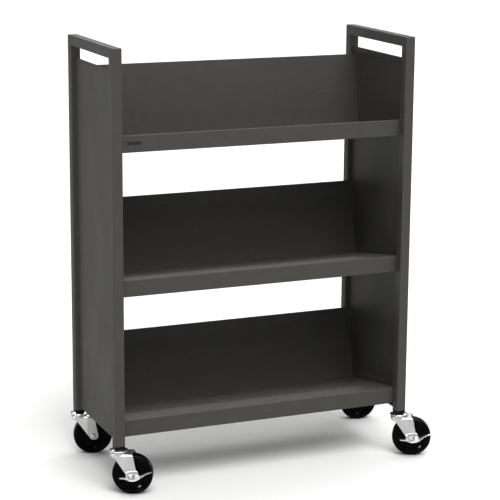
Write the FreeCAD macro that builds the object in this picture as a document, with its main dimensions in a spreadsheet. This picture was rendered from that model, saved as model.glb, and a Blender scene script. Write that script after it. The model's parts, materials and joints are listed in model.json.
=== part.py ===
import FreeCAD, Part
import math
import os
import Sketcher

# Book cart: two welded end frames of square tube with sheet panels, three slanted
# folded shelves between them, and four swivel casters, the front two with a rocking
# foot brake.  Millimetres.  +X is the cart's right, +Y its back, +Z up.  The origin is
# on the floor, midway between the four posts.  Lengths back along Y are measured from
# the posts' front faces until a sub-part is placed.

SIZES = {
    # End frames
    "frame_width": 790,
    "frame_depth": 340,
    "frame_height": 1084,
    "post_bottom": 119.5,
    "tube_size": 25.4,
    "tube_wall": 1.6,
    "tube_corner": 3,
    "top_corner": 4,
    # End panels
    "sheet_gauge": 1.2,
    "panel_top": 1029,
    "panel_bottom": 124,
    "panel_hem": 12,
    "panel_foot": 10,
    # Shelves
    "shelf_pitch": 350,
    "lowest_lip": 176,
    "lip_height": 42,
    "lip_return": 12,
    "shelf_slant": 10,
    "floor_length": 256.4,
    "back_length": 192.7,
    "top_back_length": 180.2,
    "back_hem": 12,
    "bend_inside": 1.2,
    "hem_round": 1.08,
    "end_flange": 15,
    # Name plate
    "plate_length": 36,
    "plate_height": 9,
    "plate_thickness": 0.8,
    "plate_side": 331,
    "plate_drop": 19,
    # Caster layout
    "front_heading": -27,
    "rear_heading": -14,
    "caster_trail": 34,
    # Caster head
    "collar_height": 7,
    "collar_round": 2,
    "socket_length": 55,
    "socket_gap": 0.1,
    "stem_radius": 5.5,
    "stem_length": 50,
    "stem_chamfer": 1.5,
    "cup_radius": 23,
    "cup_height": 6,
    "cup_wall": 1.8,
    "cup_slope": 3,
    "cup_shoulder": 14,
    "cup_round": 1.5,
    "race_gap": 1.5,
    "ball_radius": 1.8,
    "ball_circle": 16.5,
    "king_radius": 4.5,
    "king_head_radius": 8,
    "king_head_height": 3,
    "running_gap": 0.08,
    # Fork
    "fork_gauge": 3,
    "fork_half_width": 23,
    "fork_shoulder": 7,
    "race_radius": 22.5,
    "race_height": 4,
    "race_step": 0.5,
    "crown_front": 20,
    "crown_thickness": 3,
    "chin_half_width": 14,
    "chin_up": 89,
    "chin_rise": 8,
    "chin_back": 6,
    "chin_round": 10,
    "leg_crease": 19,
    "crease_round": 8,
    "leg_end": 9.5,
    "toe_front": 5,
    "toe_back": 14.5,
    "toe_round": 9,
    "knee_back": 3.5,
    "knee_drop": 5,
    "knee_round": 5,
    "saddle_back": 30,
    # Wheel
    "wheel_radius": 50,
    "wheel_half_width": 15,
    "tyre_depth": 9,
    "tyre_shoulder": 7,
    "tyre_bead": 1,
    "rim_depth": 5,
    "rim_inset": 1.5,
    "hub_radius": 12,
    "hub_half_width": 19.4,
    "web_half_width": 11,
    "web_round": 4,
    "web_corner": 3,
    # Axle
    "bolt_radius": 4,
    "bolt_tail": 2,
    "bolt_round": 0.8,
    "sleeve_radius": 6,
    "hex_radius": 7.3,
    "nut_height": 5.5,
    # Brake
    "cam_radius": 9,
    "cam_thickness": 2.3,
    "brake_gap": 0.3,
    "pedal_gauge": 2,
    "pedal_rise": 8,
    "ear_left": 14,
    "ear_right": 18,
    "ear_drop": 9,
    "ear_rise": 14,
    "ear_round": 7,
    "wing_slope": 8,
    "wing_left": 30,
    "wing_right": 50,
    "wing_inside": 1,
    "wing_tip": 4.5,
    "wing_tip_round": 1.5,
    "wing_corner": 0.8,
    "lobe_left": 2,
    "lobe_right": 16,
    "lobe_reach": 23,
    "lobe_round": 12,
    "neck_left": 15,
    "neck_right": 31,
    "neck_reach": 8.5,
    "neck_round": 14,
    "nut_space": 1.7,
    "nut_notch": 10.5,
}
BALL_COUNT = 18
SHELVES = ("bottom", "middle", "top")
CASTERS = {
    # name: (side of the cart, end of the cart, whether it has a brake)
    "front_left": (-1, "front", True),
    "front_right": (1, "front", True),
    "rear_left": (-1, "rear", False),
    "rear_right": (1, "rear", False),
}
UPRIGHT, SIDEWAYS, FORWARD = FreeCAD.Vector(0, 0, 1), FreeCAD.Vector(0, 1, 0), FreeCAD.Vector(1, 0, 0)

document = FreeCAD.newDocument("BookCart")
sheet = document.addObject("Spreadsheet::Sheet", "Sizes")
for row, (alias, number) in enumerate(SIZES.items(), start=1):
    sheet.set(f"A{row}", alias)
    sheet.set(f"B{row}", str(number))
    sheet.setAlias(f"B{row}", alias)
document.recompute()


# ---------------------------------------------------------------- sizes and expressions
class Size:
    """A size driven by the sheet: its expression and the number it has now."""

    def __init__(self, text, number):
        self.text = text
        self.number = number

    def __add__(self, other):
        return combine(self, "+", other, self.number + as_size(other).number)

    def __radd__(self, other):
        return as_size(other) + self

    def __sub__(self, other):
        return combine(self, "-", other, self.number - as_size(other).number)

    def __rsub__(self, other):
        return as_size(other) - self

    def __mul__(self, other):
        return combine(self, "*", other, self.number * as_size(other).number)

    def __rmul__(self, other):
        return as_size(other) * self

    def __truediv__(self, other):
        return combine(self, "/", other, self.number / as_size(other).number)

    def __neg__(self):
        return self * -1


def as_size(value):
    """The value as a Size, so that plain numbers mix with sheet sizes."""
    return value if isinstance(value, Size) else Size(f"({float(value):.6f})", float(value))


def combine(first, sign, second, number):
    return Size(f"({first.text} {sign} {as_size(second).text})", number)


def size(alias):
    """The sheet's size of this name."""
    return Size(f"Sizes.{alias}", sheet.get(alias))


def sine(angle):
    return Size(f"sin({angle.text})", math.sin(math.radians(angle.number)))


def cosine(angle):
    return Size(f"cos({angle.text})", math.cos(math.radians(angle.number)))


def bind(item, target, value):
    """Drive one property of a document object from the sheet."""
    item.setExpression(target, as_size(value).text)


# ------------------------------------------------------------------------------ sketches
def sketch_on(body, role, offset=0):
    """New sketch in a body, on its own origin plane moved along that plane's normal."""
    drawing = body.newObject("Sketcher::SketchObject", body.Name + "_sketch")
    plane = next(part for part in body.Origin.OriginFeatures if part.Role == role)
    drawing.AttachmentSupport = (plane, [""])
    drawing.MapMode = "FlatFace"
    bind(drawing, "AttachmentOffset.Base.z", offset)
    return drawing


def fix_point(drawing, geometry, end, corner):
    """Hold a point of the sketch at sheet-driven coordinates."""
    for kind, axis, value in (("DistanceX", -2, corner[0]), ("DistanceY", -1, corner[1])):
        value = as_size(value)
        if abs(value.number) < 1e-9:
            drawing.addConstraint(Sketcher.Constraint("PointOnObject", geometry, end, axis))
            continue
        rule = Sketcher.Constraint(kind, -1, 1, geometry, end, value.number)
        drive(drawing, drawing.addConstraint(rule), value)


def drive(drawing, number, value):
    """Drive one constraint's value from the sheet."""
    label = f"size{number}"
    drawing.renameConstraint(number, label)
    bind(drawing, f"Constraints.{label}", value)


def point(corner):
    return FreeCAD.Vector(as_size(corner[0]).number, as_size(corner[1]).number, 0)


def outline(drawing, corners):
    """Closed outline through the corners, anticlockwise; a third value rounds a corner."""
    count = len(corners)
    spots = [point(corner) for corner in corners]
    starts, ends, arcs = list(spots), list(spots), {}
    for index, corner in enumerate(corners):
        if len(corner) < 3:
            continue
        spot = spots[index]
        back = (spots[index - 1] - spot).normalize()
        ahead = (spots[(index + 1) % count] - spot).normalize()
        radius = as_size(corner[2]).number
        reach = radius / math.tan(back.getAngle(ahead) / 2)
        ends[index], starts[index] = spot + back * reach, spot + ahead * reach
        middle = (back + ahead).normalize() * (radius / math.sin(back.getAngle(ahead) / 2))
        arcs[index] = (spot + middle, radius, back.cross(ahead).z < 0)
    first = drawing.GeometryCount
    for index in range(count):
        line = Part.LineSegment(starts[index], ends[(index + 1) % count])
        drawing.addGeometry(line, False)
    for index, corner in enumerate(corners):
        before, after = first + (index - 1) % count, first + index
        if index not in arcs:
            drawing.addConstraint(Sketcher.Constraint("Coincident", before, 2, after, 1))
            fix_point(drawing, after, 1, corner)
            continue
        centre, radius, left_turn = arcs[index]
        round_corner(drawing, (before, after), (ends[index], starts[index]), centre, left_turn,
                     corner)
    return first


def round_corner(drawing, lines, touches, centre, left_turn, corner):
    """Arc between two lines, tangent to both, with their crossing point held in place."""
    radius = as_size(corner[2])
    angles = [math.atan2(touch.y - centre.y, touch.x - centre.x) for touch in touches]
    from_angle, to_angle = angles if left_turn else reversed(angles)
    circle = Part.Circle(centre, FreeCAD.Vector(0, 0, 1), radius.number)
    arc = drawing.addGeometry(Part.ArcOfCircle(circle, from_angle, to_angle), False)
    near, far = (1, 2) if left_turn else (2, 1)
    drawing.addConstraint(Sketcher.Constraint("Tangent", lines[0], 2, arc, near))
    drawing.addConstraint(Sketcher.Constraint("Tangent", arc, far, lines[1], 1))
    drive(drawing, drawing.addConstraint(Sketcher.Constraint("Radius", arc, radius.number)), radius)
    crossing = drawing.addGeometry(Part.Point(point(corner)), True)
    fix_point(drawing, crossing, 1, corner)
    for line in lines:
        drawing.addConstraint(Sketcher.Constraint("PointOnObject", crossing, 1, line))


def ring(drawing, radius, centre=(0, 0)):
    """Full circle in a sketch."""
    radius = as_size(radius)
    circle = Part.Circle(point(centre), FreeCAD.Vector(0, 0, 1), radius.number)
    index = drawing.addGeometry(circle, False)
    drive(drawing, drawing.addConstraint(Sketcher.Constraint("Radius", index, radius.number)), radius)
    fix_point(drawing, index, 3, centre)


def rectangle(drawing, left, bottom, right, top, corner=None):
    """Rectangle by its sides, with all four corners rounded if a radius is given."""
    spots = [(left, bottom), (right, bottom), (right, top), (left, top)]
    outline(drawing, spots if corner is None else [spot + (corner,) for spot in spots])


def hexagon(drawing, radius):
    """Regular hexagon about the sketch's origin, by its corner radius."""
    outline(drawing, [(radius * math.cos(math.radians(60 * step)),
                       radius * math.sin(math.radians(60 * step))) for step in range(6)])


# ------------------------------------------------------------------------------ features
def new_body(name):
    body = document.addObject("PartDesign::Body", name)
    body.Label = name
    sub_parts.append(body)
    return body


def pad(body, drawing, length, side="One side", reversed_side=False):
    feature = body.newObject("PartDesign::Pad", body.Name + "_pad")
    feature.Profile = drawing
    feature.SideType = side
    feature.Reversed = reversed_side
    bind(feature, "Length", length)
    return finish(body, feature, 1)


def cut(body, drawing, length=None, reversed_side=False):
    """Pocket of the given depth, or right through the body both ways."""
    feature = body.newObject("PartDesign::Pocket", body.Name + "_cut")
    feature.Profile = drawing
    if length is None:
        feature.Type = "ThroughAll"
        feature.SideType = "Symmetric"
    else:
        feature.Reversed = reversed_side
        bind(feature, "Length", length)
    return finish(body, feature, -1)


def turn(body, drawing, axis="V_Axis"):
    """Solid of revolution about one of the sketch's axes."""
    feature = body.newObject("PartDesign::Revolution", body.Name + "_turn")
    feature.Profile = drawing
    feature.ReferenceAxis = (drawing, [axis])
    feature.Angle = 360
    return finish(body, feature, 1)


def soften(body, radius, chosen):
    """Fillet the edges that a test picks."""
    base = body.Tip
    names = [f"Edge{number}" for number, edge in enumerate(base.Shape.Edges, 1) if chosen(edge)]
    if not names:
        raise RuntimeError(f"{body.Label}: no edge to fillet")
    feature = body.newObject("PartDesign::Fillet", body.Name + "_fillet")
    feature.Base = (base, names)
    bind(feature, "Radius", radius)
    return finish(body, feature, 0)


def finish(body, feature, change):
    """Recompute, and stop if the feature failed or changed the volume the wrong way."""
    before = volumes.get(body.Name, 0)
    document.recompute()
    failed = "Invalid" in feature.State or "Error" in feature.State
    if failed or feature.Shape.isNull() or not feature.Shape.isValid():
        raise RuntimeError(f"{feature.Name} failed: {feature.State}")
    now = feature.Shape.Volume
    if change and (now - before) * change <= 0:
        raise RuntimeError(f"{feature.Name} changed the volume from {before} to {now}")
    volumes[body.Name] = now
    return feature


def place(item, across, back, up, rotation=FreeCAD.Rotation()):
    """Put a sub-part in the cart, measured back from the posts' front faces."""
    item.Placement = FreeCAD.Placement(FreeCAD.Vector(), rotation)
    for letter, value in zip("xyz", (across, back - depth / 2, up)):
        bind(item, f"Placement.Base.{letter}", value)


sub_parts = []
volumes = {}

# --------------------------------------------------------------- sizes used in many places
tube = size("tube_size")
gauge = size("sheet_gauge")
width = size("frame_width")
depth = size("frame_depth")
height = size("frame_height")
bottom = size("post_bottom")
slant = size("shelf_slant")
post_middle = width / 2 - tube / 2
panel_inside = post_middle - gauge / 2


# ---------------------------------------------------------------------------- end frames
def keep_inside(body, role, corners, margin=10):
    """Cut away everything of a body that lies outside an outline."""
    across = [as_size(corner[0]).number for corner in corners]
    along = [as_size(corner[1]).number for corner in corners]
    drawing = sketch_on(body, role)
    rectangle(drawing, min(across) - margin, min(along) - margin, max(across) + margin,
              max(along) + margin)
    outline(drawing, corners)
    cut(body, drawing)


def round_frame_corners(body):
    """Trim a tube to the end frame's outline, whose top corners are eased."""
    corner = size("top_corner")
    keep_inside(body, "YZ_Plane", [(0, bottom - 1), (depth, bottom - 1),
                                   (depth, height, corner), (0, height, corner)])


def tube_section(drawing, middle_x, middle_y, inset=0):
    """Square tube's outer outline, or its bore when inset by the wall."""
    half = tube / 2 - inset
    corner = size("tube_corner") - inset
    rectangle(drawing, middle_x - half, middle_y - half, middle_x + half, middle_y + half, corner)


def post(name, side, at_back):
    """Upright tube, open at its foot for the caster socket and mitred at its top."""
    body = new_body(name)
    middle = depth - tube / 2 if at_back else tube / 2
    drawing = sketch_on(body, "XY_Plane", bottom)
    tube_section(drawing, 0, middle)
    tube_section(drawing, 0, middle, size("tube_wall"))
    pad(body, drawing, height - bottom)
    mitre = sketch_on(body, "YZ_Plane")
    if at_back:
        outline(mitre, [(depth - tube, height - tube), (depth, height), (depth - tube, height)])
    else:
        outline(mitre, [(tube, height - tube), (tube, height), (0, height)])
    cut(body, mitre)
    round_frame_corners(body)
    place(body, post_middle * side, 0, 0)


def handle_rail(name, side):
    """Top tube of an end frame, which is the cart's push handle."""
    body = new_body(name)
    drawing = sketch_on(body, "XZ_Plane")
    tube_section(drawing, 0, height - tube / 2)
    tube_section(drawing, 0, height - tube / 2, size("tube_wall"))
    pad(body, drawing, depth, reversed_side=True)
    mitres = sketch_on(body, "YZ_Plane")
    outline(mitres, [(0, height), (0, height - tube), (tube, height - tube)])
    outline(mitres, [(depth, height), (depth - tube, height - tube), (depth, height - tube)])
    cut(body, mitres)
    round_frame_corners(body)
    place(body, post_middle * side, 0, 0)


def end_panel(name, side):
    """Sheet between the posts, hemmed at the top and turned in along its foot."""
    body = new_body(name)
    foot, top = size("panel_bottom"), size("panel_top")
    face, hem, hem_round = gauge / 2, size("panel_hem"), size("hem_round")
    bend = size("bend_inside")
    drawing = sketch_on(body, "XZ_Plane", -tube)
    inward = -side
    corners = [(-face * inward, foot, bend * 2), (size("panel_foot") * inward, foot),
               (size("panel_foot") * inward, foot + gauge), (face * inward, foot + gauge, bend),
               (face * inward, top - hem), ((face + gauge) * inward, top - hem),
               ((face + gauge) * inward, top, hem_round), (-face * inward, top, hem_round)]
    outline(drawing, corners if inward > 0 else corners[::-1])
    pad(body, drawing, depth - tube * 2, reversed_side=True)
    place(body, post_middle * side, 0, 0)


# ------------------------------------------------------------------------------- shelves
def tilted(along, above):
    """Point given along and above the slanted shelf floor, from the lip's top corner."""
    return (along * cosine(slant) + above * sine(slant),
            above * cosine(slant) - along * sine(slant))


def shelf(name, level, back_length):
    """One folded sheet: lip with its return, sloping floor, leaning back with a hem."""
    body = new_body(name)
    floor, lip = size("floor_length"), size("lip_height")
    inner, outer = size("bend_inside"), size("bend_inside") + gauge
    hem, hem_round = size("back_hem"), size("hem_round")
    under_lip = -(gauge * sine(slant) + gauge) / cosine(slant)
    drawing = sketch_on(body, "YZ_Plane")
    outline(drawing, [
        (0, 0, outer), (0, -lip, outer), (size("lip_return"), -lip),
        (size("lip_return"), gauge - lip), (gauge, gauge - lip, inner), (gauge, under_lip, inner),
        tilted(floor + gauge, -gauge) + (outer,), tilted(floor + gauge, back_length - hem),
        tilted(floor + gauge * 2, back_length - hem),
        tilted(floor + gauge * 2, back_length) + (hem_round,),
        tilted(floor, back_length) + (hem_round,),
        tilted(floor, as_size(0)) + (inner,)])
    pad(body, drawing, panel_inside * 2, "Symmetric")
    for side in (-1, 1):
        end_flange(body, side, back_length)
    place(body, 0, tube, size("lowest_lip") + size("shelf_pitch") * level)


def end_flange(body, side, back_length):
    """Turned-in end of a shelf's floor and back, which is welded to the end panel."""
    floor, flange = size("floor_length"), size("end_flange")
    nose = flange / 3
    drawing = sketch_on(body, "YZ_Plane", panel_inside * side)
    outline(drawing, [tilted(nose, -gauge / 2), tilted(floor + gauge / 2, -gauge / 2),
                      tilted(floor + gauge / 2, back_length - nose),
                      tilted(floor - flange, back_length - flange),
                      tilted(floor - flange, flange), tilted(flange, flange)])
    pad(body, drawing, gauge, reversed_side=side > 0)


def name_plate(name):
    """Small blank plate on the top shelf's lip."""
    body = new_body(name)
    long, tall = size("plate_length") / 2, size("plate_height") / 2
    drawing = sketch_on(body, "XZ_Plane")
    rectangle(drawing, -long, -tall, long, tall, tall / 3)
    pad(body, drawing, size("plate_thickness"))
    lip_top = size("lowest_lip") + size("shelf_pitch") * 2
    place(body, -size("plate_side"), tube, lip_top - size("plate_drop"))


# ------------------------------------------------------------------------------- casters
axle_up = size("wheel_radius")
trail = size("caster_trail")
cup_top = bottom - size("collar_height")
cup_under = cup_top - size("cup_height")
crown_top = cup_under - size("race_gap")
crown_under = crown_top - size("crown_thickness")
leg_face = size("fork_half_width")
shank = size("bolt_radius")
running_gap = size("running_gap")
ball_play = 0.1
fit_gap = 0.05
brake_gap = size("brake_gap")
cam_outside = leg_face + brake_gap + size("cam_thickness")
pedal_outside = cam_outside + size("pedal_gauge")


def caster_spot(caster):
    """Position of a caster's post axis, and the direction that its fork trails in."""
    side, end, _ = CASTERS[caster]
    back = tube / 2 if end == "front" else depth - tube / 2
    return post_middle * side, back, size(end + "_heading")


def at_post(item, caster):
    """Place a swivelling piece on its post's axis."""
    across, back, heading = caster_spot(caster)
    place(item, across, back, 0, FreeCAD.Rotation(UPRIGHT, heading.number))


def at_axle(item, caster, rise=0):
    """Place a piece on its wheel's axle, tipped about the axle by its rise."""
    across, back, heading = caster_spot(caster)
    turned = FreeCAD.Rotation(UPRIGHT, heading.number)
    tipped = FreeCAD.Rotation(SIDEWAYS, -as_size(rise).number)
    place(item, across + trail * cosine(heading), back + trail * sine(heading), axle_up,
          turned * tipped)


def socket(caster):
    """Plastic plug in the foot of the post, bored for the stem, with a square collar."""
    body = new_body(caster + "_socket")
    collar = sketch_on(body, "XY_Plane", bottom)
    tube_section(collar, 0, 0)
    pad(body, collar, size("collar_height"), reversed_side=True)
    foot = (bottom - size("collar_height")).number + 0.01
    soften(body, size("collar_round"), lambda edge: edge.BoundBox.ZMax < foot)
    plug = sketch_on(body, "XY_Plane", bottom)
    tube_section(plug, 0, 0, size("tube_wall") + size("socket_gap"))
    pad(body, plug, size("socket_length"))
    bore = sketch_on(body, "XY_Plane", bottom)
    ring(bore, size("stem_radius") + running_gap)
    cut(body, bore)
    across, back, _ = caster_spot(caster)
    place(body, across, back, 0)


def stem(caster):
    """Steel stem held in the socket, with the king pin and its head below the crown."""
    body = new_body(caster + "_stem")
    king, thick, chamfer = size("king_radius"), size("stem_radius"), size("stem_chamfer")
    head_radius, head_top = size("king_head_radius"), crown_under - brake_gap
    head_under = head_top - size("king_head_height")
    top = bottom + size("stem_length")
    section = sketch_on(body, "XZ_Plane")
    outline(section, [(0, head_under), (head_radius, head_under, chamfer), (head_radius, head_top),
                      (king, head_top), (king, cup_top), (thick, cup_top),
                      (thick, top - chamfer), (thick - chamfer, top), (0, top)])
    turn(body, section)
    across, back, _ = caster_spot(caster)
    place(body, across, back, 0)


def upper_race(caster):
    """Plated cup that rides on the balls, closed round the king pin."""
    body = new_body(caster + "_upper_race")
    radius, king, bend = size("cup_radius"), size("king_radius"), size("cup_round")
    inside, boss = radius - size("cup_wall"), size("king_head_radius")
    ceiling = crown_top + size("ball_radius") * 2 + ball_play * 4
    section = sketch_on(body, "XZ_Plane")
    outline(section, [(king, cup_under), (boss, cup_under), (boss, ceiling),
                      (inside, ceiling, bend / 2), (inside, cup_under),
                      (radius, cup_under, bend / 2), (radius, cup_top - size("cup_slope"), bend),
                      (size("cup_shoulder"), cup_top, bend * 2), (king, cup_top)])
    turn(body, section)
    across, back, _ = caster_spot(caster)
    place(body, across, back, 0)


def bearing_balls(caster):
    """Ring of separate balls that run on the fork's crown."""
    item = document.addObject("Part::Feature", caster + "_bearing_balls")
    item.Label = item.Name
    radius = size("ball_radius").number
    up = crown_top.number + radius + ball_play
    balls = []
    for step in range(BALL_COUNT):
        angle = 2 * math.pi * step / BALL_COUNT
        circle = size("ball_circle").number
        spot = FreeCAD.Vector(circle * math.cos(angle), circle * math.sin(angle), up)
        balls.append(Part.makeSphere(radius, spot))
    item.Shape = Part.makeCompound(balls)
    sub_parts.append(item)
    at_post(item, caster)


def fork(caster):
    """Pressed fork: round race under the balls, rounded shoulders, two creased raked legs."""
    body = new_body(caster + "_fork")
    wall, front, shoulder = size("fork_gauge"), size("crown_front"), size("fork_shoulder")
    leg_foot, back_edge = axle_up - size("leg_end"), trail + size("toe_back") + 1
    roof = crown_top - size("race_step")

    def plan(up, inset):
        """Sketch of the legs and chin seen from above, inset from the outside faces."""
        crease, face = size("leg_crease"), leg_face - inset
        nose, tip = size("chin_half_width") - inset, inset - front
        bend, corner = size("crease_round") - inset, size("chin_round") - inset
        drawing = sketch_on(body, "XY_Plane", up)
        outline(drawing, [
            (back_edge + inset, -face), (back_edge + inset, face), (crease, face, bend),
            (tip, nose, corner), (tip, -nose, corner), (crease, -face, bend)])
        return drawing

    pad(body, plan(leg_foot, 0), roof - leg_foot)
    soften(body, shoulder, lambda edge: edge.BoundBox.ZMin > roof.number - 0.01)
    race = sketch_on(body, "XY_Plane", crown_top)
    ring(race, size("race_radius"))
    pad(body, race, size("race_height"), reversed_side=True)
    cut(body, plan(leg_foot, wall), crown_under - leg_foot, reversed_side=True)
    chin, toe, knee = size("chin_up"), size("toe_round"), crown_top - size("knee_drop")
    nose, lid = -front - 1, crown_top + 1
    keep_inside(body, "XZ_Plane", [
        (nose, chin + size("chin_rise")), (-size("chin_back"), chin, size("chin_round")),
        (trail - size("toe_front"), leg_foot, toe), (trail + size("toe_back"), leg_foot, toe),
        (trail + size("knee_back"), knee, size("knee_round")), (size("saddle_back"), lid),
        (nose, lid)], margin=20)
    soften(body, shoulder - wall, lambda edge: edge.BoundBox.XMin < trail.number - 12
           and abs(edge.BoundBox.ZMin - crown_under.number) < 0.01
           and abs(edge.BoundBox.ZMax - crown_under.number) < 0.01)
    axle_hole = sketch_on(body, "XZ_Plane")
    ring(axle_hole, shank + fit_gap, (trail, axle_up))
    cut(body, axle_hole)
    king_hole = sketch_on(body, "XY_Plane", crown_top)
    ring(king_hole, size("king_radius") + running_gap)
    cut(body, king_hole)
    at_post(body, caster)


def axle_bolt(caster):
    """Hexagon bolt through both legs, its head on the far side from the brake."""
    body = new_body(caster + "_axle_bolt")
    braked = CASTERS[caster][2]
    seat = pedal_outside + brake_gap if braked else leg_face
    far_end = seat + size("nut_height") + size("bolt_tail")
    head = sketch_on(body, "XZ_Plane", -leg_face)
    hexagon(head, size("hex_radius"))
    pad(body, head, size("nut_height"), reversed_side=True)
    rod = sketch_on(body, "XZ_Plane", -leg_face)
    ring(rod, shank)
    pad(body, rod, leg_face + far_end)
    soften(body, size("bolt_round"), lambda edge: edge.BoundBox.YMax < 0.01 - far_end.number)
    at_axle(body, caster)


def axle_nut(caster):
    """Nut on the bolt's end, outside the leg or the brake pedal."""
    body = new_body(caster + "_axle_nut")
    seat = pedal_outside + brake_gap if CASTERS[caster][2] else leg_face
    flats = sketch_on(body, "XZ_Plane", seat)
    hexagon(flats, size("hex_radius"))
    ring(flats, shank + fit_gap / 2)
    pad(body, flats, size("nut_height"))
    at_axle(body, caster)


def axle_sleeve(caster):
    """Steel sleeve clamped between the legs, which the wheel turns on."""
    body = new_body(caster + "_axle_sleeve")
    section = sketch_on(body, "XZ_Plane", 0)
    ring(section, size("sleeve_radius"))
    ring(section, shank + fit_gap)
    pad(body, section, (leg_face - size("fork_gauge") - fit_gap) * 2, "Symmetric")
    at_axle(body, caster)


def wheel_core(caster):
    """Moulded hub, web and rim."""
    body = new_body(caster + "_wheel_core")
    bore = size("sleeve_radius") + running_gap
    hub, hub_half = size("hub_radius"), size("hub_half_width")
    web_half, web_round, corner = size("web_half_width"), size("web_round"), size("web_corner")
    rim_half = size("wheel_half_width") - size("rim_inset")
    seat = axle_up - size("tyre_depth")
    rim = seat - size("rim_depth")
    side = [(seat, rim_half), (rim, rim_half, corner / 2), (rim - web_round, web_half, web_round),
            (hub + corner, web_half, corner), (hub, hub_half, corner / 3), (bore, hub_half)]
    section = sketch_on(body, "XY_Plane")
    lower = [(spot[0], -as_size(spot[1])) + tuple(spot[2:]) for spot in side[::-1]]
    outline(section, lower + side)
    turn(body, section)
    at_axle(body, caster)


def tyre(caster):
    """Solid tyre with rounded shoulders, seated on the rim."""
    body = new_body(caster + "_tyre")
    seat, half = axle_up - size("tyre_depth"), size("wheel_half_width")
    shoulder, bead = size("tyre_shoulder"), size("tyre_bead")
    section = sketch_on(body, "XY_Plane")
    outline(section, [(seat, bead - half), (seat + bead, -half, bead), (axle_up, -half, shoulder),
                      (axle_up, half, shoulder), (seat + bead, half, bead), (seat, half - bead)])
    turn(body, section)
    at_axle(body, caster)


def brake_cam(caster):
    """Ring between the leg and the pedal that pinches the leg on the hub."""
    body = new_body(caster + "_brake_cam")
    section = sketch_on(body, "XZ_Plane", leg_face + brake_gap)
    ring(section, size("cam_radius"))
    ring(section, shank + running_gap)
    pad(body, section, size("cam_thickness"))
    at_axle(body, caster, size("pedal_rise"))


def brake_pedal(caster):
    """Rocking pedal: an upright plate on the bolt with a leaf-shaped wing bent out from it."""
    body = new_body(caster + "_brake_pedal")
    thick = size("pedal_gauge")
    upright = sketch_on(body, "XZ_Plane", cam_outside)
    rectangle(upright, -size("ear_left"), -size("ear_drop"), size("ear_right"), size("ear_rise"),
              size("ear_round"))
    ring(upright, shank + running_gap)
    pad(body, upright, thick)
    wing = sketch_on(body, "XY_Plane")
    tilt = FreeCAD.Rotation(FORWARD, size("wing_slope").number)
    wing.AttachmentOffset = FreeCAD.Placement(FreeCAD.Vector(), tilt)
    bind(wing, "AttachmentOffset.Base.y", -cam_outside)
    left, right, inside = -size("wing_left"), size("wing_right"), -size("wing_inside")
    tip, tip_round, corner = -size("wing_tip"), size("wing_tip_round"), size("wing_corner")
    neck, lobe, lobe_round = size("neck_reach"), -size("lobe_reach"), size("lobe_round")
    nut_side, notch = size("hex_radius") + size("nut_space"), -size("nut_notch")
    outline(wing, [
        (left, inside, corner), (left, tip, tip_round),
        (-size("neck_left"), -neck, size("neck_round")), (-size("lobe_left"), lobe, lobe_round),
        (size("lobe_right"), lobe, lobe_round), (size("neck_right"), -neck, size("neck_round")),
        (right, tip, tip_round), (right, inside, corner), (nut_side, inside),
        (nut_side, notch, corner * 4), (-nut_side, notch, corner * 4), (-nut_side, inside)])
    pad(body, wing, thick, "Symmetric")
    at_axle(body, caster, size("pedal_rise"))


# ------------------------------------------------------------------------------ the cart
for side_name, side in (("left", -1), ("right", 1)):
    post(side_name + "_front_post", side, at_back=False)
    post(side_name + "_rear_post", side, at_back=True)
    handle_rail(side_name + "_handle_rail", side)
    end_panel(side_name + "_end_panel", side)
for level, shelf_name in enumerate(SHELVES):
    back_size = "top_back_length" if shelf_name == "top" else "back_length"
    shelf(shelf_name + "_shelf", level, size(back_size))
name_plate("name_plate")
for caster_name, (_, _, has_brake) in CASTERS.items():
    for build in (socket, stem, upper_race, bearing_balls, fork, axle_bolt, axle_nut,
                  axle_sleeve, wheel_core, tyre):
        build(caster_name)
    if has_brake:
        brake_cam(caster_name)
        brake_pedal(caster_name)

# -------------------------------------------------------------------- check and write
document.recompute()
for item in document.Objects:
    if "Invalid" in item.State or "Error" in item.State:
        raise RuntimeError(f"{item.Label}: {item.State}")
for item in sub_parts:
    if item.Shape.isNull() or not item.Shape.isValid():
        raise RuntimeError(f"{item.Label}: shape is null or not valid")
os.makedirs("parts", exist_ok=True)
for item in sub_parts:
    item.Shape.exportStep(f"parts/{item.Label}.step")
print(f"{len(sub_parts)} sub-parts written")
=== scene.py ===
import json
import math

import bmesh
import bpy
from mathutils import Matrix, Vector


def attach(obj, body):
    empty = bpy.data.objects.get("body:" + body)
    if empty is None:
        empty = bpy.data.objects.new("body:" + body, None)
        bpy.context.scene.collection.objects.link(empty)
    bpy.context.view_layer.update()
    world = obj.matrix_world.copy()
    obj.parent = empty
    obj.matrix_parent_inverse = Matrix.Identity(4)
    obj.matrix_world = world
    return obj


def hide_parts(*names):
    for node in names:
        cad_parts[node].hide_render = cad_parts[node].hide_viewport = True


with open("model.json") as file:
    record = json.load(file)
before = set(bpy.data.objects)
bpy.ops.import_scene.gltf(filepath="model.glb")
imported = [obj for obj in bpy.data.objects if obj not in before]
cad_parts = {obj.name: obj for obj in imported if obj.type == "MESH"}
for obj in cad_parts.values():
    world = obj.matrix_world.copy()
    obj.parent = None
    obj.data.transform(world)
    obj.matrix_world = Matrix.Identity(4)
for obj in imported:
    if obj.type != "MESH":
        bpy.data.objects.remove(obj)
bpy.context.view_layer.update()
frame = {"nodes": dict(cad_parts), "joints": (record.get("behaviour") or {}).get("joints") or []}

# Book cart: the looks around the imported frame.  Metres, +Z up, the cart's back at +Y.

MM = 0.001
NODES = frame["nodes"]
JOINTS = {joint["name"]: joint for joint in frame["joints"]}
CASTERS = ("front_left", "front_right", "rear_left", "rear_right")
BRAKED = ("front_left", "front_right")


# ------------------------------------------------------------------- camera and studio
CAMERA_PLACE = Vector((-1.711, -4.077, 1.548))
CAMERA_YAW, CAMERA_PITCH, CAMERA_ROLL = 23.09, 12.83, 0.42
CAMERA_LENS = 128.8

FLOOR_RADIUS, FLOOR_SIDES = 60.0, 64
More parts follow.
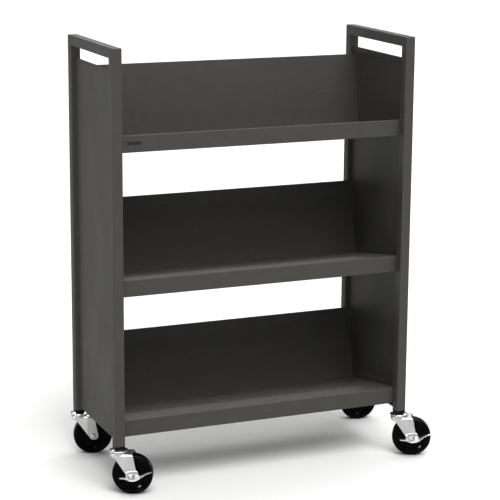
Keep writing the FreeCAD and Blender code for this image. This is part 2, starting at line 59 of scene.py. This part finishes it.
# The sky's brightness at the horizon, overhead, and where the camera sees it directly.
SKY_LOW, SKY_HIGH, SKY_SEEN = 0.10, 1.15, 1.0
# How far it is dimmed on the cart's left, and raised on its right.
SKY_LEFT, SKY_RIGHT = 0.5, 1.4
# name: (heading it shines from, height above the horizon, spread, strength).  Degrees.
SUNS = {
    "key": (-2, 57, 40, 3.1),
    "back": (150, 56, 60, 0.95),
}
# Small lamps that matt surfaces don't see, for highlights without hard shadows.
SPARKS = {
    "spark": (-42, 48, 8, 1.2),
    "side_spark": (-70, 26, 10, 5.0),
    "back_spark": (165, 40, 8, 1.2),
}


def make_camera():
    data = bpy.data.cameras.new("camera")
    data.lens = CAMERA_LENS
    data.clip_end = 200.0
    camera = bpy.data.objects.new("camera", data)
    camera.matrix_world = (
        Matrix.Translation(CAMERA_PLACE)
        @ Matrix.Rotation(-math.radians(CAMERA_YAW), 4, "Z")
        @ Matrix.Rotation(math.radians(90 - CAMERA_PITCH), 4, "X")
        @ Matrix.Rotation(math.radians(CAMERA_ROLL), 4, "Z"))
    bpy.context.scene.collection.objects.link(camera)
    bpy.context.scene.camera = camera


def make_sun(name, heading, height, spread, strength):
    """Distant soft lamp; heading 0 is straight in front of the cart, negative to its left."""
    data = bpy.data.lights.new(name, "SUN")
    data.angle = math.radians(spread)
    data.energy = strength
    lamp = bpy.data.objects.new(name, data)
    lamp.matrix_world = (Matrix.Rotation(math.radians(heading), 4, "Z")
                         @ Matrix.Rotation(math.radians(90 - height), 4, "X"))
    bpy.context.scene.collection.objects.link(lamp)
    return lamp


def make_sky():
    """Sky dim at the horizon and to the left, bright overhead, plain white to the camera."""
    world = bpy.data.worlds.new("studio")
    world.use_nodes = True
    nodes, links = world.node_tree.nodes, world.node_tree.links
    towards = nodes.new("ShaderNodeSeparateXYZ")
    links.new(nodes.new("ShaderNodeTexCoord").outputs["Generated"], towards.inputs[0])
    glow = nodes.new("ShaderNodeMath")
    glow.operation = "MULTIPLY"
    for number, (axis, start, low, high) in enumerate((
            ("Z", 0.0, SKY_LOW, SKY_HIGH), ("X", -1.0, SKY_LEFT, SKY_RIGHT))):
        ramp = nodes.new("ShaderNodeMapRange")
        links.new(towards.outputs[axis], ramp.inputs["Value"])
        ramp.inputs["From Min"].default_value = start
        ramp.inputs["To Min"].default_value = low
        ramp.inputs["To Max"].default_value = high
        links.new(ramp.outputs["Result"], glow.inputs[number])
    seen = nodes.new("ShaderNodeMix")
    links.new(nodes.new("ShaderNodeLightPath").outputs["Is Camera Ray"], seen.inputs[0])
    links.new(glow.outputs[0], seen.inputs[2])
    seen.inputs[3].default_value = SKY_SEEN
    links.new(seen.outputs[0], nodes["Background"].inputs["Strength"])
    nodes["Background"].inputs["Color"].default_value = (1.0, 1.0, 1.0, 1.0)
    bpy.context.scene.world = world


def make_floor():
    """Wide round floor that the cart stands on."""
    mesh = bpy.data.meshes.new("floor")
    shape = bmesh.new()
    bmesh.ops.create_circle(shape, cap_ends=True, radius=FLOOR_RADIUS, segments=FLOOR_SIDES)
    shape.to_mesh(mesh)
    shape.free()
    floor = bpy.data.objects.new("floor", mesh)
    bpy.context.scene.collection.objects.link(floor)
    mesh.materials.append(floor_finish())


def make_studio():
    """Sky, soft lamps and the pale floor."""
    make_sky()
    bpy.context.scene.view_settings.view_transform = "Standard"
    for name, values in SUNS.items():
        make_sun(name + "_lamp", *values)
    for name, values in SPARKS.items():
        make_sun(name + "_lamp", *values).visible_diffuse = False
    make_floor()


# ---------------------------------------------------------------------- material tools
class Finish:
    """A Principled material, with short ways to add nodes and join them."""

    def __init__(self, name, **sockets):
        self.material = bpy.data.materials.new(name)
        self.material.use_nodes = True
        self.tree = self.material.node_tree
        self.shader = self.tree.nodes["Principled BSDF"]
        self.place = self.add("ShaderNodeTexCoord").outputs["Object"]
        for socket, value in sockets.items():
            self.set(socket.replace("_", " "), value)

    def add(self, kind, inputs=(), **settings):
        """New node, with its settings and then its inputs, by name or number."""
        node = self.tree.nodes.new(kind)
        for setting, value in settings.items():
            setattr(node, setting, value)
        for socket, value in dict(inputs).items():
            self.feed(node.inputs[socket], value)
        return node

    def feed(self, socket, value):
        """Link a socket to another, or set its own value."""
        if isinstance(value, bpy.types.NodeSocket):
            self.tree.links.new(value, socket)
        else:
            socket.default_value = value

    def set(self, socket, value):
        """Feed one of the shader's sockets."""
        self.feed(self.shader.inputs[socket], value)

    def stretched(self, scale):
        """The object's coordinates, scaled unevenly."""
        return self.add("ShaderNodeMapping", {"Vector": self.place, "Scale": scale}).outputs[0]

    def noise(self, scale, detail=2.0, roughness=0.5, place=None, distortion=0.0):
        """Noise from about 0 to 1; scale is in waves per metre."""
        return self.add("ShaderNodeTexNoise", {
            "Vector": place or self.place, "Scale": scale, "Detail": detail,
            "Roughness": roughness, "Distortion": distortion}).outputs["Fac"]

    def grains(self, scale):
        """A random value from 0 to 1 for each small cell; scale is in cells per metre."""
        cells = self.add("ShaderNodeTexVoronoi", {"Vector": self.place, "Scale": scale})
        return self.add("ShaderNodeSeparateColor", {0: cells.outputs["Color"]}).outputs[0]

    def remap(self, value, low, high, to_low=0.0, to_high=1.0):
        """Value between two limits, carried to two others and held there."""
        return self.add("ShaderNodeMapRange", {
            "Value": value, "From Min": low, "From Max": high,
            "To Min": to_low, "To Max": to_high}).outputs["Result"]

    def math(self, operation, first, second=0.0, third=0.0):
        """One Math node's result."""
        node = self.add("ShaderNodeMath", {0: first, 1: second, 2: third}, operation=operation)
        return node.outputs[0]

    def blend(self, share, first, second):
        """Colour between two colours."""
        first, second = ((*colour, 1.0) if isinstance(colour, tuple) else colour
                         for colour in (first, second))
        node = self.add("ShaderNodeMix", {0: share, 6: first, 7: second}, data_type="RGBA")
        return node.outputs[2]

    def eased(self, radius):
        """Normals rounded over the edges nearer than the radius."""
        return self.add("ShaderNodeBevel", {"Radius": radius}, samples=6).outputs["Normal"]

    def edges(self, radius):
        """Mask that is 1 along sharp edges and 0 on open faces."""
        across = self.add("ShaderNodeVectorMath", {
            0: self.eased(radius),
            1: self.add("ShaderNodeNewGeometry").outputs["Normal"]}, operation="DOT_PRODUCT")
        turned = self.math("SUBTRACT", 1.0, across.outputs["Value"])
        return self.remap(turned, 0.02, 0.25)

    def bump(self, height, distance, normal):
        """Normals of a surface whose height varies by up to a distance, over others."""
        return self.add("ShaderNodeBump", {
            "Height": height, "Distance": distance, "Normal": normal}).outputs["Normal"]


# --------------------------------------------------------------------------- materials
def floor_finish():
    """Matt pale studio floor with a barely visible mottle."""
    finish = Finish("studio_floor", Roughness=0.95, Specular_IOR_Level=0.1)
    mottle = finish.noise(1.5, detail=3)
    finish.set("Base Color", finish.blend(mottle, (0.67, 0.67, 0.665), (0.70, 0.70, 0.695)))
    return finish.material


def charcoal_paint():
    """Satin powder coat: fine orange peel, slow waves of the sheet, scuffs, rubbed edges."""
    finish = Finish("charcoal_powder_coat", Specular_IOR_Level=0.12)
    waves = finish.noise(7, detail=1)
    mottle = finish.noise(38, detail=4, roughness=0.6)
    speck = finish.noise(1300, detail=2, roughness=0.7)
    smear = finish.noise(11, detail=5, roughness=0.62,
                         place=finish.stretched((1.0, 1.0, 0.45)), distortion=0.4)
    rub = finish.math("MULTIPLY", finish.edges(1.3 * MM),
                      finish.remap(finish.noise(170, detail=5, roughness=0.7), 0.38, 0.62))
    streaks = finish.noise(1.0, detail=2, place=finish.stretched((9.0, 9.0, 420.0)),
                           distortion=0.25)
    scuffed = finish.noise(9, detail=3, roughness=0.7)
    scuff = finish.math("MULTIPLY", finish.remap(streaks, 0.63, 0.70),
                        finish.remap(scuffed, 0.52, 0.66))
    facing = finish.add("ShaderNodeSeparateXYZ", {
        0: finish.add("ShaderNodeNewGeometry").outputs["Normal"]}).outputs["Z"]
    dust = finish.math("MULTIPLY", finish.remap(facing, 0.5, 0.95),
                       finish.remap(finish.noise(26, detail=6, roughness=0.7), 0.4, 0.75))
    colour = finish.blend(finish.remap(mottle, 0.3, 0.7), (0.0445, 0.0429, 0.0400),
                          (0.0500, 0.0482, 0.0448))
    colour = finish.blend(finish.remap(speck, 0.55, 0.75, 0.0, 0.6), colour,
                          (0.100, 0.097, 0.091))
    colour = finish.blend(finish.remap(speck, 0.45, 0.25, 0.0, 0.5), colour,
                          (0.026, 0.025, 0.023))
    colour = finish.blend(finish.math("MULTIPLY", dust, 0.16), colour, (0.19, 0.185, 0.175))
    colour = finish.blend(finish.math("MULTIPLY", scuff, 0.35), colour,
                          (0.125, 0.122, 0.117))
    finish.set("Base Color", finish.blend(finish.math("MULTIPLY", rub, 0.75), colour,
                                          (0.150, 0.147, 0.140)))
    rough = finish.remap(smear, 0.35, 0.7, 0.52, 0.62)
    rough = finish.math("ADD", rough, finish.remap(speck, 0.3, 0.7, -0.05, 0.05))
    rough = finish.math("MULTIPLY_ADD", scuff, -0.08, rough)
    finish.set("Roughness", finish.math("MULTIPLY_ADD", rub, -0.14, rough))
    peel = finish.noise(520, detail=2, roughness=0.5)
    normal = finish.bump(waves, 0.7 * MM, finish.eased(0.7 * MM))
    normal = finish.bump(peel, 0.10 * MM, normal)
    finish.set("Normal", finish.bump(speck, 0.02 * MM, normal))
    return finish.material


def zinc_plate():
    """Bright zinc on pressed steel: fine spangle, faint passivation tint, handling marks."""
    finish = Finish("bright_zinc", Metallic=1.0)
    spangle = finish.grains(900)
    tint = finish.noise(28, detail=2)
    grime = finish.noise(260, detail=5, roughness=0.6)
    scratch = finish.noise(320, detail=3, place=finish.stretched((7.0, 7.0, 1.0)))
    worn = finish.edges(0.6 * MM)
    colour = finish.blend(finish.remap(tint, 0.3, 0.7), (0.40, 0.415, 0.43),
                          (0.47, 0.465, 0.44))
    colour = finish.blend(finish.remap(spangle, 0.0, 1.0, 0.0, 0.35), colour,
                          (0.54, 0.55, 0.56))
    colour = finish.blend(finish.remap(grime, 0.56, 0.8, 0.0, 0.4), colour,
                          (0.24, 0.235, 0.225))
    finish.set("Base Color", finish.blend(finish.math("MULTIPLY", worn, 0.7), colour,
                                          (0.74, 0.75, 0.76)))
    rough = finish.remap(spangle, 0.0, 1.0, 0.27, 0.35)
    rough = finish.math("ADD", rough, finish.remap(grime, 0.5, 0.8, 0.0, 0.16))
    rough = finish.math("MULTIPLY_ADD", worn, -0.10, rough)
    finish.set("Roughness", finish.math("ADD", rough,
                                        finish.remap(scratch, 0.62, 0.7, 0.0, 0.08)))
    normal = finish.bump(grime, 0.012 * MM, finish.eased(0.5 * MM))
    finish.set("Normal", finish.bump(scratch, 0.008 * MM, normal))
    return finish.material


def bright_plate():
    """Chromed cup: near mirror, with hairline polishing marks and a little grime."""
    finish = Finish("chrome", Metallic=1.0)
    hair = finish.noise(900, detail=3, place=finish.stretched((1.0, 1.0, 12.0)))
    grime = finish.noise(230, detail=5, roughness=0.6)
    finish.set("Base Color", finish.blend(finish.remap(grime, 0.56, 0.8, 0.0, 0.4),
                                          (0.66, 0.67, 0.68), (0.32, 0.31, 0.30)))
    rough = finish.remap(hair, 0.4, 0.65, 0.06, 0.12)
    finish.set("Roughness", finish.math("ADD", rough,
                                        finish.remap(grime, 0.52, 0.8, 0.0, 0.16)))
    finish.set("Normal", finish.bump(hair, 0.004 * MM, finish.eased(0.3 * MM)))
    return finish.material


def steel():
    """Bare turned steel under a film of oil."""
    finish = Finish("turned_steel", Metallic=1.0)
    lathe_lines = finish.noise(700, detail=2, place=finish.stretched((1.0, 1.0, 8.0)))
    oil = finish.noise(140, detail=4)
    finish.set("Base Color", finish.blend(finish.remap(oil, 0.4, 0.7), (0.48, 0.47, 0.45),
                                          (0.25, 0.235, 0.21)))
    finish.set("Roughness", finish.remap(lathe_lines, 0.35, 0.65, 0.22, 0.36))
    finish.set("Normal", finish.bump(lathe_lines, 0.01 * MM, finish.eased(0.3 * MM)))
    return finish.material


def black_plastic():
    """Moulded nylon with a fine grain and scuffed corners."""
    finish = Finish("black_nylon", Specular_IOR_Level=0.05)
    grain = finish.noise(1100, detail=2, roughness=0.6)
    scuff = finish.math("MULTIPLY", finish.edges(0.8 * MM),
                        finish.remap(finish.noise(300, detail=4), 0.45, 0.65))
    colour = finish.blend(finish.remap(finish.noise(60), 0.3, 0.7), (0.0018, 0.0018, 0.0020),
                          (0.0035, 0.0035, 0.0037))
    finish.set("Base Color", finish.blend(finish.math("MULTIPLY", scuff, 0.5), colour,
                                          (0.035, 0.035, 0.035)))
    finish.set("Roughness", finish.remap(grain, 0.3, 0.7, 0.38, 0.50))
    finish.set("Normal", finish.bump(grain, 0.015 * MM, finish.eased(0.5 * MM)))
    return finish.material


def black_wheel():
    """Glossy moulded wheel centre with faint swirl marks."""
    finish = Finish("glossy_black_nylon", Specular_IOR_Level=0.035)
    swirl = finish.noise(240, detail=3, place=finish.stretched((1.0, 7.0, 1.0)),
                         distortion=1.5)
    dust = finish.noise(70, detail=5, roughness=0.65)
    finish.set("Base Color", finish.blend(finish.remap(dust, 0.5, 0.85, 0.0, 0.5),
                                          (0.0009, 0.0009, 0.0011), (0.006, 0.0058, 0.0054)))
    rough = finish.remap(dust, 0.4, 0.8, 0.09, 0.20)
    finish.set("Roughness", finish.math("ADD", rough,
                                        finish.remap(swirl, 0.6, 0.72, 0.0, 0.12)))
    normal = finish.bump(dust, 0.05 * MM, finish.eased(0.6 * MM))
    finish.set("Normal", finish.bump(swirl, 0.01 * MM, normal))
    return finish.material


def black_tyre():
    """Hard rubber: glossy sidewalls, with grey scuffs where it rolls."""
    finish = Finish("hard_black_rubber", Specular_IOR_Level=0.035)
    scuff = finish.noise(160, detail=6, roughness=0.7)
    grain = finish.noise(900, detail=2)
    finish.set("Base Color", finish.blend(finish.remap(scuff, 0.5, 0.78, 0.0, 0.6),
                                          (0.0011, 0.0011, 0.0013), (0.008, 0.0078, 0.0073)))
    rough = finish.remap(scuff, 0.4, 0.75, 0.13, 0.38)
    finish.set("Roughness", finish.math("ADD", rough,
                                        finish.remap(grain, 0.3, 0.7, -0.03, 0.03)))
    normal = finish.bump(scuff, 0.05 * MM, finish.eased(0.6 * MM))
    finish.set("Normal", finish.bump(grain, 0.008 * MM, normal))
    return finish.material


def name_plate():
    """Dark anodised aluminium, brushed along its length, bare along its edges."""
    finish = Finish("dark_anodised_plate", Metallic=0.85)
    brushed = finish.noise(1400, detail=3, place=finish.stretched((0.05, 1.0, 1.0)))
    bare = finish.math("MULTIPLY", finish.edges(0.5 * MM), 0.8)
    colour = finish.blend(finish.remap(brushed, 0.35, 0.65), (0.018, 0.018, 0.019),
                          (0.034, 0.034, 0.035))
    finish.set("Base Color", finish.blend(bare, colour, (0.35, 0.35, 0.35)))
    finish.set("Roughness", finish.remap(brushed, 0.35, 0.65, 0.30, 0.44))
    finish.set("Normal", finish.bump(brushed, 0.01 * MM, finish.eased(0.3 * MM)))
    return finish.material


# Each material slot's finish.
FINISHES = {make.__name__: make() for make in (
    charcoal_paint, zinc_plate, bright_plate, steel, black_plastic, black_wheel, black_tyre,
    name_plate)}


def finish_cad_nodes():
    """Give every CAD node the finish named by its material slot."""
    for node in NODES.values():
        for index, slot in enumerate(node.material_slots):
            node.material_slots[index].material = FINISHES[slot.material.name.split(".")[0]]


# ----------------------------------------------------------------------- caster pieces
# Built in millimetres in the caster's own frame: its origin on the axle midway across
# the wheel, +X the way the fork trails, -Y towards the nut, +Z up.
STEPS = 60
MERGE, SHARP_ANGLE = 1e-4, 32
# Hexagons: their round face's share of the distance across flats.
HEX_FACE = 0.955
# Nut: its bore, and how deep it is countersunk at its seat and its top.
BORE, SEAT_SINK, TOP_SINK = 4.02, 0.6, 0.7
# Bolt: its rod's radius and end, and its thread, which fades in over its first turn.
ROD, TIP_CHAMFER = 4.0, 0.9
PITCH, THREAD, THREAD_DEPTH, TURN_ROWS = 1.25, 10.0, 0.6, 6
# Its head's dish: depth, and the shares of the round face that its floor and rim reach.
DISH_DEPTH, DISH_FLOOR, DISH_RIM = 0.35, 0.6, 0.8
# The washer face under the head: thickness, and its share of the round face.
WASHER, WASHER_FACE = 0.3, 0.98
# Pedal: how far it is tipped up at rest, and its sheet's thickness.
RISE, SHEET = 8.0, 2.0
# How far the wing reaches out from the upright plate, along its length, and the offsets
# along it that this is averaged over, which blend its corners.
WING_EDGE = ((-30, 4.5), (-15, 8.5), (-2, 23), (16, 23), (31, 8.5), (50, 4.5))
BLEND = range(-6, 7, 2)
WING_ROWS, WING_COLUMNS = 12, 64
# Where the wing's sheet starts, and the notch round the nut: depth, and half widths.
WING_ROOT, NOTCH_DEPTH, NOTCH_FLOOR, NOTCH_MOUTH = 0.9, 9.8, 8.0, 9.9
# The wing's heights.  Its long end curls up from a place on.  Its middle is dished and its
# rim rolled down over a width, each more as the wing grows wide, from none to whole
# between two reaches.  Its root folds up into the plate within a distance, about a
# middle, from none to whole between two half widths.
CURL, CURL_START = 6.5, 8
DISH, DISH_REACHES = 2.4, (5, 22)
ROLL, ROLL_WIDTH, ROLL_REACHES = 1.5, 3.2, (4, 12)
FOLD, FOLD_REACH, FOLD_MIDDLE, FOLD_WIDTHS = 2.4, 4.5, 2, (16, 9)
# The upright plate's right, left, top and bottom from the axle, and its hole.
PLATE, PLATE_CORNER, PEDAL_BORE = (18, -14, 14, -9), 7, 4.5
# Points a gap apart round it, with a ring of them at each share of the way out.
RIM_GAP, CORNER_STEPS, RING_SHARES = 1.8, 6, (0.0, 0.3, 0.65, 1.0)
# How far its top leans in, and the height that this starts at.
LEAN, LEAN_START = 1.5, 5


def axle_frame(caster, rise=0.0):
    """The caster's own frame in the cart's, tipped up about the axle by a rise."""
    joint = JOINTS[caster + "_roll"]
    across, up = Vector(joint["axis"]).normalized(), Vector((0, 0, 1))
    turned = Matrix((across.cross(up), across, up)).transposed().to_4x4()
    return (Matrix.Translation(joint["pos_m"]) @ turned
            @ Matrix.Rotation(-math.radians(rise), 4, "Y") @ Matrix.Scale(MM, 4))


def measured(node, place):
    """Lowest and highest corner of a CAD node in another frame."""
    into = place.inverted()
    spots = [into @ vertex.co for vertex in NODES[node].data.vertices]
    return Vector(map(min, *spots)), Vector(map(max, *spots))


def new_piece(node, shape, place, body, slot):
    """Smooth-shaded object from a bmesh, shown in place of a CAD node."""
    name = node + "_detailed"
    bmesh.ops.remove_doubles(shape, verts=shape.verts, dist=MERGE)
    bmesh.ops.recalc_face_normals(shape, faces=shape.faces)
    mesh = bpy.data.meshes.new(name)
    shape.to_mesh(mesh)
    shape.free()
    mesh.transform(place)
    mesh.shade_smooth()
    mesh.set_sharp_from_angle(angle=math.radians(SHARP_ANGLE))
    mesh.materials.append(FINISHES[slot])
    piece = bpy.data.objects.new(name, mesh)
    bpy.context.scene.collection.objects.link(piece)
    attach(piece, body)
    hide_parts(node)
    return piece


def skin(shape, rows, closed_rows=False, closed_columns=False):
    """Quads over rows of points, joined up along either way if it is closed."""
    grid = [[shape.verts.new(spot) for spot in row] for row in rows]
    lines, columns = len(grid), len(grid[0])
    for line in range(lines if closed_rows else lines - 1):
        here, there = grid[line], grid[(line + 1) % lines]
        for column in range(columns if closed_columns else columns - 1):
            beside = (column + 1) % columns
            shape.faces.new((here[column], here[beside], there[beside], there[column]))


def spin(shape, profile, closed):
    """Skin round the axle; the profile gives radius and distance out for each angle."""
    rows = []
    for step in range(STEPS):
        angle = 2 * math.pi * step / STEPS
        rows.append([(radius * math.cos(angle), -out, radius * math.sin(angle))
                     for radius, out in profile(angle)])
    skin(shape, rows, closed_rows=True, closed_columns=closed)


def hexagon(angle, corner):
    """Radius of a hexagon at an angle, its chamfer's drop there, and its round face."""
    flat = corner * math.cos(math.radians(30))
    radius = flat / math.cos(angle % math.radians(60) - math.radians(30))
    face = flat * HEX_FACE
    return radius, max(0.0, radius - face) * math.tan(math.radians(30)), face


def axle_nut(caster):
    """Hexagon nut, chamfered on both faces and countersunk."""
    node, place = caster + "_axle_nut", axle_frame(caster)
    low, high = measured(node, place)
    corner, seat, top = high.x, -high.y, -low.y

    def profile(angle):
        radius, drop, face = hexagon(angle, corner)
        return [(BORE + SEAT_SINK, seat), (face, seat), (radius, seat + drop),
                (radius, top - drop), (face, top), (BORE + TOP_SINK, top),
                (BORE, top - TOP_SINK), (BORE, seat + SEAT_SINK)]

    shape = bmesh.new()
    spin(shape, profile, closed=True)
    new_piece(node, shape, place, caster + "_swivel", "zinc_plate")


def axle_bolt(caster):
    """Hexagon bolt with a dished head and a real thread on its end."""
    node, place = caster + "_axle_bolt", axle_frame(caster)
    low, high = measured(node, place)
    tip, head_end, corner = -low.y, -high.y, high.x
    head_seat = -measured(caster + "_fork", place)[1].y
    rows = round(THREAD / PITCH * TURN_ROWS)

    def thread(angle):
        for row in range(rows + 1):
            out = tip - THREAD + THREAD * row / rows
            wave = (out / PITCH - angle / (2 * math.pi)) % 1.0
            depth = THREAD_DEPTH * (1 - abs(2 * wave - 1)) * min(1.0, row / TURN_ROWS)
            yield min(ROD - depth, ROD - TIP_CHAMFER + (tip - out) * TIP_CHAMFER), out

    def profile(angle):
        radius, drop, face = hexagon(angle, corner)
        return [(0, head_end + DISH_DEPTH), (face * DISH_FLOOR, head_end + DISH_DEPTH),
                (face * DISH_RIM, head_end), (face, head_end),
                (radius, head_end + drop), (radius, head_seat - WASHER),
                (face, head_seat - WASHER), (face * WASHER_FACE, head_seat),
                (ROD, head_seat), *thread(angle), (0, tip)]

    shape = bmesh.new()
    spin(shape, profile, closed=False)
    new_piece(node, shape, place, caster + "_swivel", "zinc_plate")


def ease(low, high, value):
    """0 at low, 1 at high, and a smooth step between them; low may be the larger."""
    share = min(1.0, max(0.0, (value - low) / (high - low)))
    return share * share * (3 - 2 * share)


def along_edge(x):
    """The reach of the wing's plain outline at a place along it."""
    for (x0, y0), (x1, y1) in zip(WING_EDGE, WING_EDGE[1:]):
        if x <= x1:
            return y0 + (y1 - y0) * max(0.0, x - x0) / (x1 - x0)
    return WING_EDGE[-1][1]


def wing_reach(x):
    """The wing's reach, with the corners of its outline blended."""
    return sum(along_edge(x + offset) for offset in BLEND) / len(BLEND)


def wing_row(x, seat, long_end):
    """Points across the pedal's wing, from its root to its rim."""
    edge = wing_reach(x)
    root = WING_ROOT + NOTCH_DEPTH * ease(NOTCH_MOUTH, NOTCH_FLOOR, abs(x))
    curl = CURL * ease(CURL_START, long_end, x)
    folded = ease(*FOLD_WIDTHS, abs(x - FOLD_MIDDLE))
    row = []
    for step in range(WING_ROWS + 1):
        out = root + (edge - root) * step / WING_ROWS
        dish = DISH * math.sin(math.pi * out / edge) * ease(*DISH_REACHES, edge)
        roll = ROLL * ease(ROLL_WIDTH, 0, edge - out) * ease(*ROLL_REACHES, edge)
        fold = FOLD * ease(FOLD_REACH, WING_ROOT, out) * folded
        fall = out * math.tan(math.radians(RISE))
        row.append((x, -seat - out, fold + curl - fall - dish - roll))
    return row


def plate_rim():
    """Points a gap apart round the upright plate, anticlockwise from its right."""
    right, left, top, bottom = PLATE
    spots = []
    for x, z, turn in ((right, top, 0), (left, top, 90), (left, bottom, 180),
                       (right, bottom, 270)):
        centre = Vector((x - math.copysign(PLATE_CORNER, x), z - math.copysign(PLATE_CORNER, z)))
        for step in range(CORNER_STEPS + 1):
            angle = math.radians(turn + 90 * step / CORNER_STEPS)
            spots.append(centre + PLATE_CORNER * Vector((math.cos(angle), math.sin(angle))))
    rim = []
    for here, there in zip(spots, spots[1:] + spots[:1]):
        parts = max(1, round((there - here).length / RIM_GAP))
        rim += [here.lerp(there, part / parts) for part in range(parts)]
    return rim


def plate_ring(share, rim, seat):
    """A ring of the upright plate, from its hole at 0 to its rim at 1."""
    ring = [spot.normalized() * PEDAL_BORE * (1 - share) + spot * share for spot in rim]
    return [(spot.x, -seat - SHEET / 2 + LEAN * ease(LEAN_START, PLATE[2], spot.y), spot.y)
            for spot in ring]


def brake_pedal(caster):
    """Pressed pedal: upright plate, and a dished leaf whose rim is rolled down."""
    node, place = caster + "_brake_pedal", axle_frame(caster, RISE)
    seat = -measured(caster + "_brake_cam", place)[0].y
    short_end, long_end = WING_EDGE[0][0], WING_EDGE[-1][0]
    shape = bmesh.new()
    skin(shape, [wing_row(short_end + (long_end - short_end) * column / WING_COLUMNS,
                          seat, long_end)
                 for column in range(WING_COLUMNS + 1)])
    rim = plate_rim()
    skin(shape, [plate_ring(share, rim, seat) for share in RING_SHARES], closed_columns=True)
    piece = new_piece(node, shape, place, caster + "_brake", "zinc_plate")
    thicken = piece.modifiers.new("sheet", "SOLIDIFY")
    thicken.thickness, thicken.offset = SHEET * MM, 0.0
    smooth = piece.modifiers.new("pressed", "SUBSURF")
    smooth.levels = smooth.render_levels = 1


# ------------------------------------------------------------------------------- build
make_camera()
make_studio()
finish_cad_nodes()
for caster_name in CASTERS:
    axle_nut(caster_name)
    axle_bolt(caster_name)
for caster_name in BRAKED:
    brake_pedal(caster_name)
